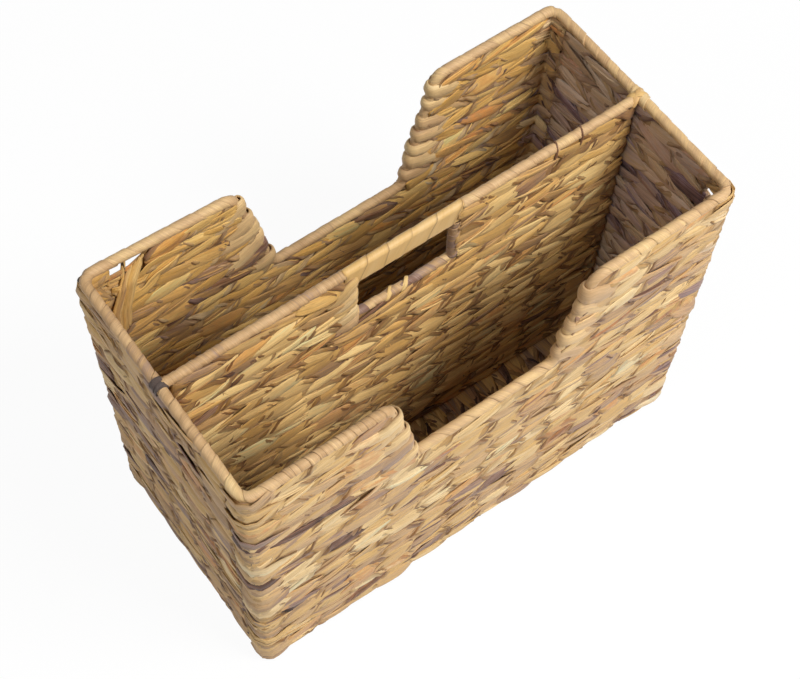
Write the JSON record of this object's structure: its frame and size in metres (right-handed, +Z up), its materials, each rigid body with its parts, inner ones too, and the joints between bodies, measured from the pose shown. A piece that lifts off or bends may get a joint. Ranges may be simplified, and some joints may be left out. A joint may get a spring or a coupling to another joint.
{
  "type": "magazine basket",
  "caption": "Rectangular two-compartment magazine basket woven over a wire frame, with a sloping notch in each long wall and a hand hole in its divider.",
  "frame": {"origin": "middle of the underside, where the basket stands", "axes": "+X along the length, +Y from the front wall to the back wall, +Z up"},
  "size_m": [0.381, 0.19, 0.2975],
  "materials": {
    "woven_stem": "flattened dry water hyacinth stems, twined in slanting pairs, straw to brown, matte with a faint waxy sheen",
    "wrapped_stem": "flat dry stem wound round the wire in lapped turns, pale straw and grey tan, smooth and slightly glossy",
    "grip_stem": "wide pale straw stem wound flat over two wires, smooth, with slanting seams",
    "dark_stem": "dark grey-brown dried stem band, matte",
    "frame_wire": "steel wire, painted dark brown, satin"
  },
  "bodies": {
    "root": {"rim_hoop": "frame_wire", "front_frame": "frame_wire", "back_frame": "frame_wire", "left_foot_rail": "frame_wire", "right_foot_rail": "frame_wire", "divider_frame": "frame_wire", "long_stake_1": "frame_wire", "long_stake_2": "frame_wire", "long_stake_3": "frame_wire", "long_stake_4": "frame_wire", "long_stake_5": "frame_wire", "front_weave": "woven_stem", "back_weave": "woven_stem", "left_end_weave": "woven_stem", "right_end_weave": "woven_stem", "divider_weave": "woven_stem", "base_weave": "woven_stem", "left_rim_wrap_rear": "wrapped_stem", "corner_wrap_back_left": "wrapped_stem", "back_rim_wrap_left": "wrapped_stem", "back_notch_wrap_left": "wrapped_stem", "back_notch_wrap_foot": "wrapped_stem", "back_notch_wrap_right": "wrapped_stem", "back_rim_wrap_right": "wrapped_stem", "corner_wrap_back_right": "wrapped_stem", "right_rim_wrap_rear": "wrapped_stem", "right_junction_tie": "wrapped_stem", "right_rim_wrap_fore": "wrapped_stem", "corner_wrap_front_right": "wrapped_stem", "front_rim_wrap_right": "wrapped_stem", "front_notch_wrap_right": "wrapped_stem", "front_notch_wrap_foot": "wrapped_stem", "front_notch_wrap_left": "wrapped_stem", "front_rim_wrap_left": "wrapped_stem", "corner_wrap_front_left": "wrapped_stem", "left_rim_wrap_fore": "wrapped_stem", "left_junction_tie": "dark_stem", "divider_rim_wrap_left": "wrapped_stem", "divider_rim_wrap_right": "wrapped_stem", "hole_sill_wrap": "wrapped_stem", "hole_side_wrap": "wrapped_stem", "handle_wrap": "grip_stem"}
  },
  "joints": []
}
